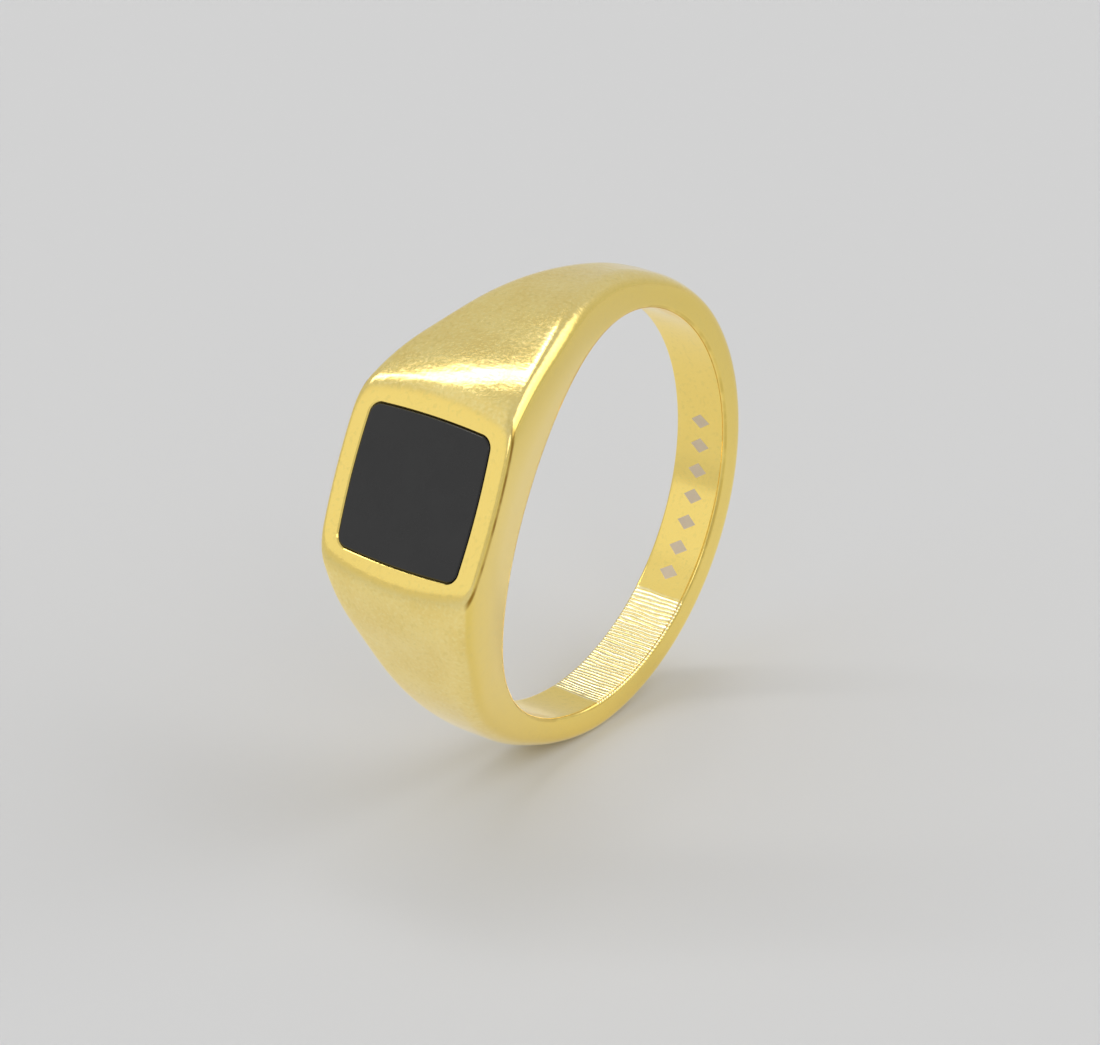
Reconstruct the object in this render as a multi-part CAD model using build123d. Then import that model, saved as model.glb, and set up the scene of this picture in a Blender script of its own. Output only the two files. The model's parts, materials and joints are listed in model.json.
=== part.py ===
"""A gold-plated signet ring: one cast body, a flush black tablet and the adhesive bed under it.

The ring is drawn in its own axes, with the finger hole along Y and the face at the top of Z. It is
then leaned over about the finger hole, so that it stands on the back of its shank with the face
looking out along -X and a little upwards. Each piece is drawn by its own function.
"""

from build123d import *
import os

# Overall sizes, in mm
BORE_RADIUS = 9.5  # the finger hole, 19 mm across
SHANK_THICKNESS = 1.5
SHANK_WIDTH = 2.75
FACE_HEIGHT = 13.25  # from the middle of the finger hole to the face
FACE_WIDTH = 8.9  # along the finger
FACE_LENGTH = 8.9  # around the finger
FACE_LEAN = 66.0  # degrees from straight up, as the ring stands

# Shoulders and sides
KNEE_HEIGHT = 5.5  # above the hole's middle, where each shoulder would turn in towards the face
KNEE_RADIUS = 13.4  # of the curve that eases that turn
FLARE_HEIGHT = 3.0  # above the hole's middle, where each side would turn out towards the face
FLARE_RADIUS = 33.5  # of the curve that eases that turn

# Rounded edges
OUTER_ROUND = 0.7
FACE_ROUND = 0.35
BORE_ROUND = 0.25

# Tablet and the pocket that holds it
TABLET_SIDE = 6.26
TABLET_BOW = 0.14  # how far each side bows out at its middle
TABLET_CORNER = 0.5
TABLET_THICKNESS = 1.2
TABLET_GAP = 0.03  # all round, in the pocket
ADHESIVE_THICKNESS = 0.1

SHANK_RADIUS = BORE_RADIUS + SHANK_THICKNESS
BEYOND = 2 * SHANK_RADIUS  # past the ring on every side, for cutting tools and outlines
LEANED = Rot(0, -FACE_LEAN, 0)


def both_sides(curve):
    """An open curve together with its mirror image about the outline's vertical axis."""
    return curve + mirror(curve, about=Plane.YZ)


def side_outline():
    """The ring seen along the finger hole: a round shank, two shoulders and the flat face."""
    corner = (FACE_LENGTH / 2, FACE_HEIGHT)
    shoulder = FilletPolyline((SHANK_RADIUS, 0), (SHANK_RADIUS, KNEE_HEIGHT), corner, radius=KNEE_RADIUS)
    face = Line(corner, (-FACE_LENGTH / 2, FACE_HEIGHT))
    back = ThreePointArc((SHANK_RADIUS, 0), (0, -SHANK_RADIUS), (-SHANK_RADIUS, 0))
    return make_face(both_sides(shoulder) + face + back)


def front_outline():
    """The ring seen from the side of a hand: a narrow shank that flares out to the face."""
    half_shank, corner = SHANK_WIDTH / 2, (FACE_WIDTH / 2, FACE_HEIGHT)
    foot = (half_shank, -BEYOND)
    side = FilletPolyline(foot, (half_shank, FLARE_HEIGHT), corner, radius=FLARE_RADIUS)
    face = Line(corner, (-FACE_WIDTH / 2, FACE_HEIGHT))
    bottom = Line(foot, (-half_shank, -BEYOND))
    return make_face(both_sides(side) + face + bottom)


def cushion(side, bow, corner):
    """A square outline with bowed sides and rounded corners."""
    half = side / 2
    edge = ThreePointArc((half, -half), (half + bow, 0), (half, half))
    outline = make_face([Rot(0, 0, quarter) * edge for quarter in (0, 90, 180, 270)])
    return fillet(outline.vertices(), corner)


def tablet_outline(gap=0.0):
    return cushion(TABLET_SIDE + 2 * gap, TABLET_BOW, TABLET_CORNER + gap)


def edges_where(solid, distance):
    """The edges along which a measure of distance stays at nothing from end to end."""
    spots = (0, 0.3, 0.6)
    return solid.edges().filter_by(lambda edge: all(abs(distance(edge.position_at(s))) < 0.001 for s in spots))


def above_face(point):
    return point.Z - FACE_HEIGHT


def outside_bore(point):
    return (point.X**2 + point.Z**2) ** 0.5 - BORE_RADIUS


def ring_body():
    """The casting: shank, shoulders and bezel in one piece, with the pocket for the tablet."""
    sides = extrude(Plane.XZ * side_outline(), amount=BEYOND, both=True)
    fronts = extrude(Plane.YZ * front_outline(), amount=BEYOND, both=True)
    body = sides & fronts
    rim = edges_where(body, above_face)
    body = fillet([edge for edge in body.edges() if edge not in rim], OUTER_ROUND)
    body = fillet(edges_where(body, above_face), FACE_ROUND)
    body -= Rot(90, 0, 0) * Cylinder(BORE_RADIUS, 2 * BEYOND)
    body = fillet(edges_where(body, outside_bore), BORE_ROUND)
    pocket_depth = TABLET_THICKNESS + ADHESIVE_THICKNESS
    pocket = Pos(0, 0, FACE_HEIGHT - pocket_depth) * extrude(tablet_outline(TABLET_GAP), pocket_depth)
    return body - pocket


def onyx_inlay():
    """The polished black tablet, flush with the rim of the face."""
    return Pos(0, 0, FACE_HEIGHT - TABLET_THICKNESS) * extrude(tablet_outline(), TABLET_THICKNESS)


def adhesive_bed():
    """The thin cured bed that holds the tablet down on the pocket's floor."""
    floor = FACE_HEIGHT - TABLET_THICKNESS - ADHESIVE_THICKNESS
    return Pos(0, 0, floor) * extrude(tablet_outline(), ADHESIVE_THICKNESS)


os.makedirs("parts", exist_ok=True)
for name, make in (("ring_body", ring_body), ("onyx_inlay", onyx_inlay), ("adhesive_bed", adhesive_bed)):
    export_step(LEANED * make(), f"parts/{name}.step")
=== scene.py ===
"""A gold-plated signet ring with a flush black tablet, standing on the back of its shank.

The ring's surface is worked out in the ring's own axes, in mm: x round the finger, y along it, and
z from the middle of the finger hole out through the face. It is then leaned over as the frame's
face leans, and scaled to metres.
"""

import json
import math

import bmesh
import bpy
import numpy as np
from mathutils import Matrix, Vector


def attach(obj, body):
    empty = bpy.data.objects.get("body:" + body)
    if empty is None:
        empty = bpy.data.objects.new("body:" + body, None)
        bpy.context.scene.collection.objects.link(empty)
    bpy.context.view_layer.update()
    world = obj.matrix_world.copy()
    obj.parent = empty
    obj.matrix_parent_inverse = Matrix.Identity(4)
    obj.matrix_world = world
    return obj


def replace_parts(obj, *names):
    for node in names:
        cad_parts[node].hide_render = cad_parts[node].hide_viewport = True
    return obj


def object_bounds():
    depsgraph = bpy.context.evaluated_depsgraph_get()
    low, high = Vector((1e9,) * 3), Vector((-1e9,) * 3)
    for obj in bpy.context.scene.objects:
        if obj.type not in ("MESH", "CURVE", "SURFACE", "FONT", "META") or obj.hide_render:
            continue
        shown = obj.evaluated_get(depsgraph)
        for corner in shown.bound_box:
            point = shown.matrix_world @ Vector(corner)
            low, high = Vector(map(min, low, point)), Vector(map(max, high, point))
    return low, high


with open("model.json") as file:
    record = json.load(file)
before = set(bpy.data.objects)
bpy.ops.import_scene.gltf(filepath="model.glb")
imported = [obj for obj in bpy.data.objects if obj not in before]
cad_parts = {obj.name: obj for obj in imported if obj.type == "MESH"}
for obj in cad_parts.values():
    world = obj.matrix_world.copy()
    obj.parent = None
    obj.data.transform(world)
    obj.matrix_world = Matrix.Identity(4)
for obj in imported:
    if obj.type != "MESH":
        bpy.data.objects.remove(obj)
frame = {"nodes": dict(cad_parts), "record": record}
CAD_LOW, CAD_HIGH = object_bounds()

MM = 0.001

# The frame's own sizes
MOUNTS = {mount["name"]: mount for mount in frame["record"]["mounts"]}
BORE = MOUNTS["finger_bore"]["dims"]["r_mm"]
FACE_NORMAL = Vector(MOUNTS["signet_face"]["axis"])
FACE_HEIGHT = Vector(MOUNTS["signet_face"]["pos_m"]).length / MM
LEAN = math.atan2(FACE_NORMAL.x, FACE_NORMAL.z)
LEANED = Matrix.Rotation(LEAN, 4, "Y")

# The ring's shape, in mm, as the solid frame has it
SHANK_RADIUS = BORE + 1.5
HALF_SHANK = 1.375
HALF_FACE_WIDTH = 4.43
HALF_FACE_LENGTH = 4.3
SLOPE_END = 4.7  # half the length that the shoulders' straight slopes would leave for the face
ROLL_TURN, ROLL_EASE = math.radians(66), 1.15  # each shoulder rolls over before it meets the face
KNEE_HEIGHT, KNEE_RADIUS = 5.4, 13.4
FLARE_HEIGHT, FLARE_RADIUS = 3.0, 33.5
SIDE_BOW_RADIUS, SIDE_EASE = 20.0, 0.6
CROWN, CROWN_RADIUS = 0.17, 24.0  # the shoulders and the face's two ends bow outwards

# Softened edges, in mm, and the heights over which they and the crown change
SHANK_ROUND, SHOULDER_ROUND, HEAD_ROUND = 0.5, 0.6, 0.45
FACE_ROUND = 0.3
BORE_ROUND = 0.18
ROUND_REACH = 1.2  # how far an edge's rounding reaches, as a share of its size
SHOULDER_SPAN, HEAD_SPAN, CROWN_SPAN = (-4.0, 6.0), (8.5, 12.5), (3.0, 10.0)

# The tablet, in mm
TABLET_HALF, TABLET_BOW, TABLET_CORNER, TABLET_THICKNESS = 3.13, 0.14, 0.5, 1.2
TABLET_EDGE = 0.05
POCKET_GAP, POCKET_DEPTH, POCKET_CHAMFER = 0.03, 1.3, 0.06

# The meshes
SECTION_POINTS = (26, 18, 52, 18)  # along the bore, one side, the outside and the other side
OUTLINE_SAMPLES = 600
FARTHEST_SHARE, HALVINGS = 1.3, 34  # how far past the sharp section to search, and how finely
CUSHION_STEPS = 14
SHARP_ANGLE = math.radians(32)


def to_row(points):
    """Points in the ring's own axes and mm, moved to the row frame in metres."""
    turn = np.array(LEANED.to_3x3())
    return np.asarray(points) @ turn.T * MM


def soft_max(a, b, radius):
    """The larger of two distances, with their crease rounded off to this radius."""
    gap = np.maximum(radius - np.abs(a - b), 0.0)
    return np.maximum(a, b) + gap * gap / (4.0 * radius)


def smooth_step(value, low, high):
    share = np.clip((value - low) / (high - low), 0.0, 1.0)
    return share * share * (3.0 - 2.0 * share)


def bend(radius, turn, height):
    """A straight side, an arc and a straight slope: (start of arc, end of arc, slope)."""
    tangent = radius * math.tan(turn / 2)
    return height - tangent, height + tangent * math.cos(turn), math.tan(turn)


KNEE_TURN = math.atan2(SHANK_RADIUS - SLOPE_END, FACE_HEIGHT - KNEE_HEIGHT)
KNEE_START, _, _ = bend(KNEE_RADIUS, KNEE_TURN, KNEE_HEIGHT)
FLARE_TURN = math.atan2(HALF_FACE_WIDTH - HALF_SHANK, FACE_HEIGHT - FLARE_HEIGHT)
FLARE_START, FLARE_END, FLARE_SLOPE = bend(FLARE_RADIUS, FLARE_TURN, FLARE_HEIGHT)


def past_line(across, z, end, turn):
    """How far a point is past a straight line that meets the face at end and leans in by turn."""
    return (across - end) * math.cos(turn) + (z - FACE_HEIGHT) * math.sin(turn)


def outline_distance(x, z):
    """How far a point is outside the ring's outline, seen along the finger hole."""
    across = np.abs(x)
    centre = SHANK_RADIUS - KNEE_RADIUS
    round_shank = np.hypot(x, z) - SHANK_RADIUS
    straight = across - SHANK_RADIUS
    knee = np.hypot(across - centre, z - KNEE_START) - KNEE_RADIUS
    slope = past_line(across, z, SLOPE_END, KNEE_TURN)
    roll = past_line(across, z, HALF_FACE_LENGTH, ROLL_TURN)
    turn = np.arctan2(z - KNEE_START, np.maximum(across - centre, 1e-6))
    upper = np.where(z < KNEE_START, straight, np.where(turn < KNEE_TURN, knee, slope))
    return soft_max(np.where(z < 0, round_shank, upper), roll, ROLL_EASE)


def half_width(z):
    """Half the ring's width at a height above the middle of the finger hole."""
    rise = np.clip(z - FLARE_START, 0.0, FLARE_END - FLARE_START)
    curve = HALF_SHANK + FLARE_RADIUS - np.sqrt(FLARE_RADIUS**2 - rise**2)
    return curve + np.maximum(z - FLARE_END, 0.0) * FLARE_SLOPE


def side_distance(x, y, z):
    """How far a point is outside the two sides, which flare to the face and bow along it."""
    across = np.abs(y)
    bow = SIDE_BOW_RADIUS - np.sqrt(np.maximum(SIDE_BOW_RADIUS**2 - x * x, 1.0))
    flare = (across - half_width(z)) / math.sqrt(1 + FLARE_SLOPE * FLARE_SLOPE)
    return soft_max(flare, across - (HALF_FACE_WIDTH - bow), SIDE_EASE)


def outside(x, y, z):
    """Below zero inside the ring's outer shape and above zero outside it."""
    radius = SHANK_ROUND + (SHOULDER_ROUND - SHANK_ROUND) * smooth_step(z, *SHOULDER_SPAN)
    radius = radius + (HEAD_ROUND - SHOULDER_ROUND) * smooth_step(z, *HEAD_SPAN)
    crown = (y * y / (2 * CROWN_RADIUS) - CROWN) * smooth_step(z, *CROWN_SPAN)
    wall = soft_max(outline_distance(x, z) + crown, side_distance(x, y, z), radius * ROUND_REACH)
    return soft_max(wall, z - FACE_HEIGHT, FACE_ROUND * ROUND_REACH)


def angles_round():
    """Angles from the face, all the way round, closer together where the face ends."""
    face_end = math.atan2(HALF_FACE_LENGTH, FACE_HEIGHT)
    coarse, fine, spread = math.radians(0.75), math.radians(0.16), math.radians(2.2)
    angles, angle = [], 0.0
    while angle < math.pi:
        angles.append(angle)
        angle += coarse - (coarse - fine) * math.exp(-(((angle - face_end) / spread) ** 2))
    half = np.array(angles) * (math.pi / angle)
    return np.concatenate([half, [math.pi], -half[:0:-1]])


def towards_ends(count):
    """Shares from 0 up to but not 1, closer together near both ends."""
    return 0.5 - 0.5 * np.cos(np.pi * np.arange(count) / count)


def guide_points(angle):
    """Points round the ring's cross-section at one angle, as (radius, y), on its sharp corners."""
    reach = np.linspace(BORE, 1.6 * FACE_HEIGHT, OUTLINE_SAMPLES)
    x, z = reach * math.sin(angle), reach * math.cos(angle)
    outer = reach[np.argmax(np.maximum(outline_distance(x, z), z - FACE_HEIGHT) > 0)]
    inner_width, outer_width = (float(half_width(np.array(r * math.cos(angle)))) for r in (BORE, outer))
    corners = [(BORE, -inner_width), (BORE, inner_width), (outer, outer_width), (outer, -outer_width)]
    points = []
    for i, count in enumerate(SECTION_POINTS):
        a, b = np.array(corners[i]), np.array(corners[(i + 1) % 4])
        points.append(a + (b - a) * towards_ends(count)[:, None])
    return np.concatenate(points), (BORE + outer) / 2


def ring_surface():
    """The ring's surface as a closed grid: one row of points for each angle round the finger."""
    angles = angles_round()
    guides, middles = zip(*(guide_points(a) for a in angles))
    guides, middles = np.array(guides), np.array(middles)[:, None]
    sine, cosine = np.sin(angles)[:, None], np.cos(angles)[:, None]
    low = np.zeros(guides.shape[:2])
    high = np.full(guides.shape[:2], FARTHEST_SHARE)
    for _ in range(HALVINGS):
        share = (low + high) / 2
        radius = middles + (guides[..., 0] - middles) * share
        shape = outside(radius * sine, guides[..., 1] * share, radius * cosine)
        value = soft_max(shape, BORE - radius, BORE_ROUND * ROUND_REACH)
        low, high = np.where(value < 0, share, low), np.where(value < 0, high, share)
    radius = middles + (guides[..., 0] - middles) * low
    return np.stack([radius * sine, guides[..., 1] * low, radius * cosine], axis=-1)


def grid_mesh(name, points):
    """A mesh from rows of points that close on themselves both ways."""
    rows, columns = points.shape[:2]
    mesh = bpy.data.meshes.new(name)
    index = np.arange(rows * columns).reshape(rows, columns)
    ahead, beside = np.roll(index, -1, axis=0), np.roll(index, -1, axis=1)
    both = np.roll(ahead, -1, axis=1)
    faces = np.stack([index, beside, both, ahead], axis=-1).reshape(-1, 4)
    mesh.from_pydata(to_row(points.reshape(-1, 3)).tolist(), [], faces.tolist())
    return mesh


def new_object(name, data):
    made = bpy.data.objects.new(name, data)
    bpy.context.scene.collection.objects.link(made)
    return made


def smooth(piece):
    """Shades a piece smoothly except across its sharp edges."""
    piece.data.shade_smooth()
    piece.data.set_sharp_from_angle(angle=SHARP_ANGLE)
    return piece


def cushion_points(half, bow, corner):
    """A square outline with bowed sides and rounded corners, as (x, y) points in order."""
    points = []
    reach = half - corner
    flat = bow * (1 - (reach / half) ** 2)
    for quarter in range(4):
        turn = quarter * math.pi / 2
        for i in range(CUSHION_STEPS):
            y = (-1 + 2 * i / CUSHION_STEPS) * reach
            points.append((half + bow * (1 - (y / half) ** 2), y, turn))
        for i in range(CUSHION_STEPS):
            a = math.pi / 2 * i / CUSHION_STEPS
            points.append((reach + (corner + flat) * math.cos(a), reach + (corner + flat) * math.sin(a), turn))
    return [(x * math.cos(t) - y * math.sin(t), x * math.sin(t) + y * math.cos(t)) for x, y, t in points]


def prism(name, sections):
    """A solid through outlines at several heights: sections are (outline points, height)."""
    made = bmesh.new()
    rings = []
    for outline, height in sections:
        corners = to_row([(x, y, height) for x, y in outline])
        rings.append([made.verts.new(corner) for corner in corners])
    for lower, upper in zip(rings, rings[1:]):
        for i in range(len(lower)):
            j = (i + 1) % len(lower)
            made.faces.new((lower[i], lower[j], upper[j], upper[i]))
    made.faces.new(rings[0][::-1])
    made.faces.new(rings[-1])
    bmesh.ops.recalc_face_normals(made, faces=made.faces)
    mesh = bpy.data.meshes.new(name)
    made.to_mesh(mesh)
    made.free()
    return new_object(name, mesh)


def cut(target, cutter):
    """Takes one solid out of another and removes the cutter."""
    modifier = target.modifiers.new("cut", "BOOLEAN")
    modifier.operation, modifier.object, modifier.solver = "DIFFERENCE", cutter, "EXACT"
    bpy.context.view_layer.update()
    evaluated = target.evaluated_get(bpy.context.evaluated_depsgraph_get())
    result = bpy.data.meshes.new_from_object(evaluated)
    target.modifiers.clear()
    target.data = result
    bpy.data.objects.remove(cutter)


def make_body():
    """The casting, with the pocket for the tablet and a fine chamfer round the pocket's lip."""
    body = new_object("ring_shell", grid_mesh("ring_shell", ring_surface()))
    made = bmesh.new()
    made.from_mesh(body.data)
    bmesh.ops.recalc_face_normals(made, faces=made.faces)
    made.to_mesh(body.data)
    made.free()
    half, corner, lip_size = TABLET_HALF + POCKET_GAP, TABLET_CORNER + POCKET_GAP, 2 * POCKET_CHAMFER
    wall = cushion_points(half, TABLET_BOW, corner)
    lip = cushion_points(half + lip_size, TABLET_BOW, corner + lip_size)
    floor, top = FACE_HEIGHT - POCKET_DEPTH, FACE_HEIGHT + POCKET_CHAMFER
    cut(body, prism("pocket", [(wall, floor), (wall, FACE_HEIGHT - POCKET_CHAMFER), (lip, top)]))
    return smooth(body)


def make_tablet():
    """The black tablet, with a fine polished edge."""
    full = cushion_points(TABLET_HALF, TABLET_BOW, TABLET_CORNER)
    inner = cushion_points(TABLET_HALF - TABLET_EDGE, TABLET_BOW, TABLET_CORNER - TABLET_EDGE)
    bottom = FACE_HEIGHT - TABLET_THICKNESS
    return smooth(prism("tablet", [(full, bottom), (full, FACE_HEIGHT - TABLET_EDGE), (inner, FACE_HEIGHT)]))


# Materials


class Shade:
    """A node tree, with a short way to add each kind of node and join it to what feeds it."""

    def __init__(self, tree):
        self.nodes, self.links = tree.nodes, tree.links

    def feed(self, socket, value):
        """Gives a socket a fixed value, or another node's output."""
        if isinstance(value, bpy.types.NodeSocket):
            self.links.new(value, socket)
        else:
            socket.default_value = value

    def coordinates(self, kind):
        return self.nodes.new("ShaderNodeTexCoord").outputs[kind]

    def axes(self, vector):
        node = self.nodes.new("ShaderNodeSeparateXYZ")
        self.feed(node.inputs[0], vector)
        return node.outputs

    def mapped(self, vector, rotation=(0.0, 0.0, 0.0), scale=(1.0, 1.0, 1.0)):
        node = self.nodes.new("ShaderNodeMapping")
        node.inputs["Rotation"].default_value = rotation
        node.inputs["Scale"].default_value = scale
        self.feed(node.inputs["Vector"], vector)
        return node.outputs["Vector"]

    def math(self, operation, *values):
        node = self.nodes.new("ShaderNodeMath")
        node.operation = operation
        for socket, value in zip(node.inputs, values):
            self.feed(socket, value)
        return node.outputs[0]

    def times(self, a, b):
        return self.math("MULTIPLY", a, b)

    def plus(self, a, b):
        return self.math("ADD", a, b)

    def size(self, value):
        return self.math("ABSOLUTE", value)

    def length(self, vector):
        node = self.nodes.new("ShaderNodeVectorMath")
        node.operation = "LENGTH"
        self.feed(node.inputs[0], vector)
        return node.outputs["Value"]

    def along(self, vector, direction):
        """How far a vector points in a fixed direction."""
        node = self.nodes.new("ShaderNodeVectorMath")
        node.operation = "DOT_PRODUCT"
        self.feed(node.inputs[0], vector)
        node.inputs[1].default_value = Vector(direction).normalized()
        return node.outputs["Value"]

    def noise(self, vector, scale, detail=2.0, stretch=None):
        """Noise in the ring's own axes, finer with scale and drawn out along the axes given by stretch."""
        node = self.nodes.new("ShaderNodeTexNoise")
        node.inputs["Scale"].default_value = scale
        node.inputs["Detail"].default_value = detail
        self.feed(node.inputs["Vector"], self.mapped(vector, scale=stretch) if stretch else vector)
        return node.outputs["Fac"]

    def ramp(self, value, low, high, to_low=0.0, to_high=1.0):
        """Eases a value from one range to another."""
        node = self.nodes.new("ShaderNodeMapRange")
        node.interpolation_type = "SMOOTHSTEP"
        for socket, number in zip(("From Min", "From Max", "To Min", "To Max"), (low, high, to_low, to_high)):
            node.inputs[socket].default_value = number
        self.feed(node.inputs["Value"], value)
        return node.outputs["Result"]

    def between(self, value, start, risen, falling, end):
        """One between two limits and nothing beyond them, eased at both."""
        return self.times(self.ramp(value, start, risen), self.ramp(value, end, falling))

    def mix(self, share, first, second):
        """A colour part of the way from the first to the second."""
        node = self.nodes.new("ShaderNodeMix")
        node.data_type = "RGBA"
        self.feed(node.inputs["Factor"], share)
        for name, colour in (("A", first), ("B", second)):
            socket = [i for i in node.inputs if i.name == name and i.type == "RGBA"][0]
            self.feed(socket, (*colour, 1) if isinstance(colour, tuple) else colour)
        return [o for o in node.outputs if o.type == "RGBA"][0]

    def bump(self, height, distance, below=None):
        node = self.nodes.new("ShaderNodeBump")
        node.inputs["Distance"].default_value = distance
        node.inputs["Strength"].default_value = 1.0
        self.feed(node.inputs["Height"], height)
        if below:
            self.feed(node.inputs["Normal"], below)
        return node.outputs["Normal"]


def new_material(name):
    material = bpy.data.materials.new(name)
    material.use_nodes = True
    return material, Shade(material.node_tree), material.node_tree.nodes["Principled BSDF"].inputs


def ring_coordinates(shade):
    """The ring's own axes in mm, as a vector and as x, y and z."""
    vector = shade.mapped(shade.coordinates("Object"), (0.0, -LEAN, 0.0), (1 / MM,) * 3)
    return vector, *shade.axes(vector)


# Gold: base colours
GOLD_DEEP, GOLD_PALE, GOLD_SPECK = (0.95, 0.74, 0.25), (0.985, 0.795, 0.30), (1.0, 0.85, 0.38)
GOLD_PIT = (0.85, 0.66, 0.20)
# The second of these is painted shade for the bore's rounded edges
GOLD_RICH, GOLD_SHADE = (0.99, 0.75, 0.205), (0.62, 0.42, 0.08)
# Painted shade for the surfaces that face along the finger, then a painted dark reflection for the creases
# beside the rim
GOLD_FLANK_SHADE, GOLD_CREASE_DARK_REFLECTION = (0.86, 0.66, 0.16), (0.36, 0.20, 0.03)
# A painted highlight for the mill lines: pale crests over a deeper gold
MILLED_HIGHLIGHT, MILLED_HIGHLIGHT_DEEP = (1.0, 0.94, 0.62), (0.93, 0.74, 0.30)
ETCHED_GREY = (0.70, 0.60, 0.47)

# How much of each colour shows at most
SPECK_SHARE, PIT_SHARE, RICH_SHARE, FLANK_SHADE_SHARE = 0.6, 0.35, 0.85, 0.5
# How strong the uneven painted shade along the bore's edge and in the rim creases is, and how much more the
# creases take
SHADE_UNEVEN_SHARE, CREASE_MORE = (0.1, 0.55), 0.45

# Noises: scale, detail and, for some, how they are drawn out along each axis
# The fourth noise only makes the painted shade along the bore's edge and in the rim creases uneven
GRAIN, CLOUDS, PITS, SHADE_UNEVEN = (7.0, 5.0), (0.55, 3.0), (4.5, 4.0), (0.9, 3.0)
RIPPLE = (2.6, 2.0, (1.0, 0.5, 1.0))
MILL_WOBBLE, MILL_GLITTER = (1.6, 2.0, (1.0, 0.35, 1.0)), (5.0, 2.0, (1.0, 0.45, 1.0))

# Spans of each noise over which its colour comes in
CLOUD_SPAN, SPECK_SPAN, PIT_SPAN, SHADE_UNEVEN_SPAN = (0.3, 0.7), (0.42, 0.72), (0.46, 0.34), (0.4, 0.6)
GRAIN_SPAN, GRAIN_ROUGHNESS = (0.3, 0.75), (0.13, 0.19)

# Places, in mm: distances beyond the bore, depths below the face and distances from the middle plane
BORE_WALL, BORE_EDGE = (0.12, 0.02), (0.02, 0.06, 0.13, 0.20)
RIM_POLISH = (0.12, 0.03)
CREASE_DEPTHS, CREASE_SIDE = (0.15, 0.22, 0.28, 0.42), (3.75, 4.0)
FLANK_FACING = (0.6, 0.9)  # how squarely a flank faces along the finger

# Bump depths in metres, and how much of the ripple is left where the metal is polished
RIPPLE_DEPTH, GRAIN_DEPTH, MILL_DEPTH = 0.000012, 0.0000028, 0.000012
RIPPLE_LEFT = 0.3

# A plain row of lozenges etched along the inside of the shank: radians, mm, number, mm
MARKS_START, MARK_PITCH, MARK_COUNT, MARK_HALF_WIDTH, MARK_SLIMNESS = -0.56, 1.25, 7, 0.5, 3.4
MARK_EDGE, MARK_METAL, MARK_ROUGHNESS = (1.06, 0.94), 0.55, 0.4

# Mill lines across the inside of the shank: mm between lines, then radians from the shank's back
MILL_PITCH, MILL_START, MILL_END, MILL_EASE, MILL_RAGGED = 0.19, 0.42, 1.18, 0.03, 0.05
MILL_WANDER, RIDGE_SHARE, CREST_SPAN = 9.0, 0.35, (0.25, 0.8)


def bore_parts(shade, x, z):
    """One on the wall of the finger hole and nothing elsewhere; then one on its rounded edges."""
    radius = shade.math("SQRT", shade.plus(shade.times(x, x), shade.times(z, z)))
    wall = shade.ramp(radius, *(BORE + distance for distance in BORE_WALL))
    return wall, shade.between(radius, *(BORE + distance for distance in BORE_EDGE))


def etched_marks(shade, y, angle, wall):
    """One on a plain row of small lozenges along the inside of the shank, and nothing elsewhere."""
    along = shade.times(shade.math("SUBTRACT", angle, MARKS_START), BORE)
    count = shade.math("DIVIDE", along, MARK_PITCH)
    in_row = shade.times(
        shade.math("GREATER_THAN", count, 0.0),
        shade.math("LESS_THAN", count, float(MARK_COUNT)),
    )
    within = shade.math("SUBTRACT", shade.math("FRACT", count), 0.5)
    across = shade.math("DIVIDE", shade.size(y), MARK_HALF_WIDTH)
    lozenge = shade.ramp(shade.plus(across, shade.times(shade.size(within), MARK_SLIMNESS)), *MARK_EDGE)
    return shade.times(shade.times(lozenge, in_row), wall)


def mill_lines(shade, vector, angle, ragged_by, wall):
    """Where the mill lines are, their ridges, and their colour, which is paler with lighter crests as a
    painted highlight.
    """
    ragged = shade.plus(angle, shade.times(ragged_by, MILL_RAGGED))
    place = shade.between(ragged, MILL_START, MILL_START + MILL_EASE, MILL_END, MILL_END + MILL_EASE)
    turns = shade.times(angle, BORE * 2 * math.pi / MILL_PITCH)
    wander = shade.times(shade.noise(vector, *MILL_WOBBLE), MILL_WANDER)
    ridges = shade.math("SINE", shade.plus(turns, wander))
    crest_highlight = shade.plus(shade.times(ridges, RIDGE_SHARE), shade.noise(vector, *MILL_GLITTER))
    return shade.times(place, wall), ridges, shade.mix(shade.ramp(crest_highlight, *CREST_SPAN), MILLED_HIGHLIGHT_DEEP, MILLED_HIGHLIGHT)


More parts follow.
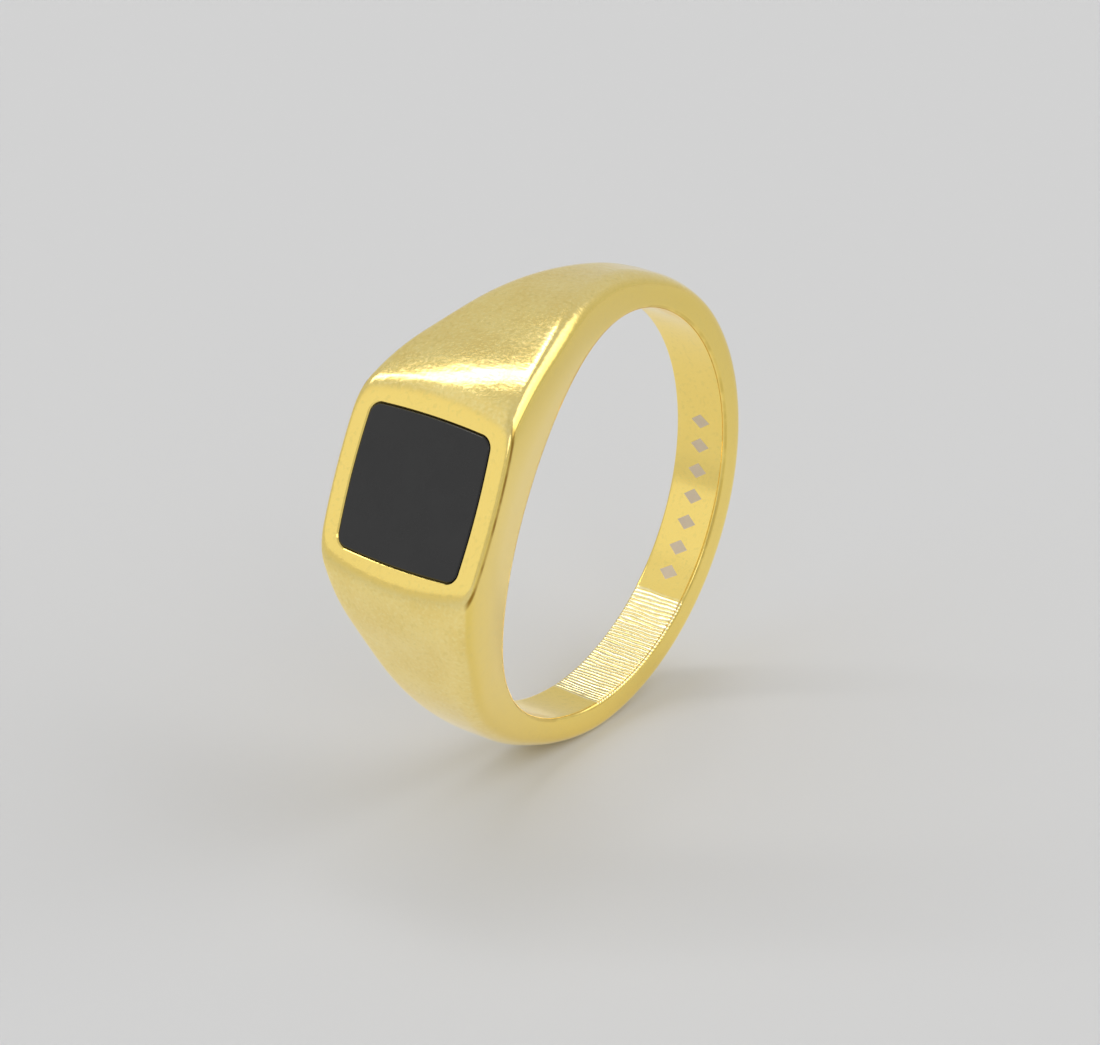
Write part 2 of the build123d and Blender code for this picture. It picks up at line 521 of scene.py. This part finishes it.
def gold():
    """Gold plate, nearly polished outside with a soft waviness, and with mill lines inside."""
    material, shade, shader = new_material("satin_gold")
    vector, x, y, z = ring_coordinates(shade)
    across, down = shade.times(x, -1.0), shade.times(z, -1.0)
    angle = shade.math("ARCTAN2", across, down)  # round the finger, from the back of the shank
    depth = shade.math("SUBTRACT", FACE_HEIGHT, z)
    wall, bore_edge = bore_parts(shade, x, z)
    facing = shade.axes(shade.coordinates("Normal"))["Y"]
    flank = shade.ramp(shade.size(facing), *FLANK_FACING)
    rim = shade.ramp(depth, *RIM_POLISH)
    polished = shade.math("MAXIMUM", shade.math("MAXIMUM", wall, rim), flank)
    grain, clouds = shade.noise(vector, *GRAIN), shade.noise(vector, *CLOUDS)

    # The satin colour, then the polished parts over it
    colour = shade.mix(shade.ramp(clouds, *CLOUD_SPAN), GOLD_DEEP, GOLD_PALE)
    colour = shade.mix(shade.ramp(grain, *SPECK_SPAN, 0.0, SPECK_SHARE), colour, GOLD_SPECK)
    colour = shade.mix(shade.times(polished, RICH_SHARE), colour, GOLD_RICH)
    # Painted shade: surfaces that face along the finger are darkened
    colour = shade.mix(shade.times(flank, FLANK_SHADE_SHARE), colour, GOLD_FLANK_SHADE)
    pits = shade.ramp(shade.noise(vector, *PITS), *PIT_SPAN, 0.0, PIT_SHARE)
    colour = shade.mix(pits, colour, GOLD_PIT)

    # Painted shade along the bore's rounded edge, and a painted dark reflection in the crease between the rim
    # and each side, both made uneven by noise
    shade_unevenness = shade.ramp(shade.noise(vector, *SHADE_UNEVEN), *SHADE_UNEVEN_SPAN, *SHADE_UNEVEN_SHARE)
    colour = shade.mix(shade.times(bore_edge, shade_unevenness), colour, GOLD_SHADE)
    # A painted dark reflection along the crease between the rim and each side
    along_side = shade.ramp(shade.size(y), *CREASE_SIDE)
    crease = shade.times(shade.between(depth, *CREASE_DEPTHS), along_side)
    colour = shade.mix(shade.times(crease, shade.plus(shade_unevenness, CREASE_MORE)), colour, GOLD_CREASE_DARK_REFLECTION)

    # Mill lines, whose pale colour is a painted highlight, and etched marks inside the shank
    milled, ridges, milled_highlight = mill_lines(shade, vector, angle, clouds, wall)
    colour = shade.mix(milled, colour, milled_highlight)
    marks = etched_marks(shade, y, angle, wall)
    shade.feed(shader["Base Color"], shade.mix(marks, colour, ETCHED_GREY))
    shade.feed(shader["Metallic"], shade.ramp(marks, 0.0, 1.0, 1.0, MARK_METAL))
    plain = shade.ramp(grain, *GRAIN_SPAN, *GRAIN_ROUGHNESS)
    shade.feed(shader["Roughness"], shade.plus(plain, shade.times(marks, MARK_ROUGHNESS)))

    # Relief: soft ripples, fine grain, then the mill lines
    ripple = shade.math("SUBTRACT", shade.noise(vector, *RIPPLE), 0.5)
    ripple = shade.times(ripple, shade.ramp(polished, 0.0, 1.0, 1.0, RIPPLE_LEFT))
    surface = shade.bump(grain, GRAIN_DEPTH, shade.bump(ripple, RIPPLE_DEPTH))
    shade.feed(shader["Normal"], shade.bump(shade.times(ridges, milled), MILL_DEPTH, surface))
    return material


def mottled(name, scale, dark, light, roughness, specular=0.5):
    """A material whose colour drifts softly between two shades."""
    material, shade, shader = new_material(name)
    vector, *_ = ring_coordinates(shade)
    tint = shade.nodes.new("ShaderNodeValToRGB")
    for element, colour in zip(tint.color_ramp.elements, (dark, light)):
        element.color = (*colour, 1)
    shade.feed(tint.inputs["Fac"], shade.noise(vector, scale))
    shade.feed(shader["Base Color"], tint.outputs["Color"])
    shade.feed(shader["Roughness"], roughness)
    shade.feed(shader["Specular IOR Level"], specular)
    return material


def onyx():
    return mottled("black_onyx", 0.8, (0.010, 0.010, 0.010), (0.018, 0.018, 0.018), 0.25, 0.45)


def adhesive():
    return mottled("cured_adhesive", 3.0, (0.05, 0.045, 0.04), (0.11, 0.10, 0.09), 0.6)


def dress(piece, material):
    piece.data.materials.clear()
    piece.data.materials.append(material)
    return piece


# Stage

FLOOR_HALF = 6.0  # metres
FLOOR_GREY = (0.64, 0.64, 0.64, 1)
# What a light table adds, which only the metal and the stone reflect: far off, then under the ring,
# and the distances in metres between which it changes
FLOOR_GLOW, FLOOR_GLOW_UNDER, FLOOR_GLOW_SPAN = 0.02, 0.14, (0.055, 0.018)
SURROUNDINGS = 0.625  # brightness all round
# Softboxes: direction, half length and fade in degrees, and added brightness; then, for a strip, the
# direction that its long sides face, and its half width and fade
SOFTBOXES = (
    ((0.05, 0.57, 0.82), 26, 8, 4.2, (0.68, 0.569, -0.461), 2.0, 2.0),
    ((0.36, 0.22, 0.91), 7, 3, 2.4, None, 0, 0),
    ((-0.5, -0.65, 0.5), 8, 5, 1.2, None, 0, 0),
    ((-0.95, 0.35, 0.05), 28, 25, 0.26, None, 0, 0),
    ((-0.32, 0.42, 0.84), 10, 12, 0.16, None, 0, 0),
    ((0.5, -0.65, 0.62), 24, 8, 1.2, None, 0, 0),
)
CAMERA_AZIMUTH, CAMERA_ELEVATION, CAMERA_ROLL = 306.115, 26.465, 0.685
CAMERA_DISTANCE = 179.21 * MM
CAMERA_TARGET = Vector((-1.055, 0.892, -0.656)) * MM
SENSOR_WIDTH, FOCAL_LENGTH = 36.0, 130.91
CLIP_NEAR, CLIP_FAR = 0.01, 50.0


def make_floor():
    """A pale floor that the shank stands on."""
    corners = [(FLOOR_HALF * x, FLOOR_HALF * y, CAD_LOW.z) for x, y in ((-1, -1), (1, -1), (1, 1), (-1, 1))]
    mesh = bpy.data.meshes.new("floor")
    mesh.from_pydata(corners, [], [(0, 1, 2, 3)])
    floor = new_object("floor", mesh)
    material, shade, shader = new_material("pale_floor")
    shade.feed(shader["Base Color"], FLOOR_GREY)
    shade.feed(shader["Roughness"], 0.9)
    shade.feed(shader["Specular IOR Level"], 0.1)
    reach = shade.length(shade.coordinates("Object"))
    glow = shade.ramp(reach, *FLOOR_GLOW_SPAN, FLOOR_GLOW, FLOOR_GLOW_UNDER)
    direct = shade.nodes.new("ShaderNodeLightPath").outputs["Is Camera Ray"]
    shade.feed(shader["Emission Color"], (1, 1, 1, 1))
    shade.feed(shader["Emission Strength"], shade.times(glow, shade.math("SUBTRACT", 1.0, direct)))
    dress(floor, material)


def soft_patch(shade, towards, direction, reach, fade, strength):
    """A bright patch of the surroundings: a softbox seen in one direction, reach degrees across its half."""
    near, far = (math.cos(math.radians(a)) for a in (reach, reach + fade))
    return shade.ramp(shade.along(towards, direction), far, near, 0.0, strength)


def soft_strip(shade, towards, side, reach, fade):
    """How far a direction is within a strip of the surroundings whose long sides face this way."""
    near, far = (math.sin(math.radians(a)) for a in (reach, reach + fade))
    return shade.ramp(shade.size(shade.along(towards, side)), far, near)


def make_lights():
    """Even surroundings with a few brighter patches, as a light tent with softboxes behind it."""
    world = bpy.data.worlds.new("studio")
    bpy.context.scene.world = world
    world.use_nodes = True
    shade = Shade(world.node_tree)
    background = shade.nodes["Background"].inputs
    towards = shade.coordinates("Generated")
    total = SURROUNDINGS
    for direction, reach, fade, strength, side, width, edge in SOFTBOXES:
        value = soft_patch(shade, towards, direction, reach, fade, strength)
        if side:
            value = shade.times(value, soft_strip(shade, towards, side, width, edge))
        total = shade.plus(total, value)
    shade.feed(background["Color"], (1, 1, 1, 1))
    shade.feed(background["Strength"], total)


def make_camera():
    data = bpy.data.cameras.new("camera")
    data.sensor_width, data.lens = SENSOR_WIDTH, FOCAL_LENGTH
    data.clip_start, data.clip_end = CLIP_NEAR, CLIP_FAR
    camera = new_object("camera", data)
    azimuth, elevation = math.radians(CAMERA_AZIMUTH), math.radians(CAMERA_ELEVATION)
    back = Vector((
        math.sin(azimuth) * math.cos(elevation),
        -math.cos(azimuth) * math.cos(elevation),
        math.sin(elevation),
    ))
    camera.location = CAMERA_TARGET + back * CAMERA_DISTANCE
    camera.rotation_mode = "QUATERNION"
    roll = Matrix.Rotation(math.radians(CAMERA_ROLL), 3, "Z")
    camera.rotation_quaternion = ((-back).to_track_quat("-Z", "Y").to_matrix() @ roll).to_quaternion()
    bpy.context.scene.camera = camera


make_floor()
make_lights()
make_camera()
bpy.context.scene.view_settings.view_transform = "Standard"

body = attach(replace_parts(dress(make_body(), gold()), "ring_body"), "root")
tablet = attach(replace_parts(dress(make_tablet(), onyx()), "onyx_inlay"), "root")
dress(frame["nodes"]["adhesive_bed"], adhesive())
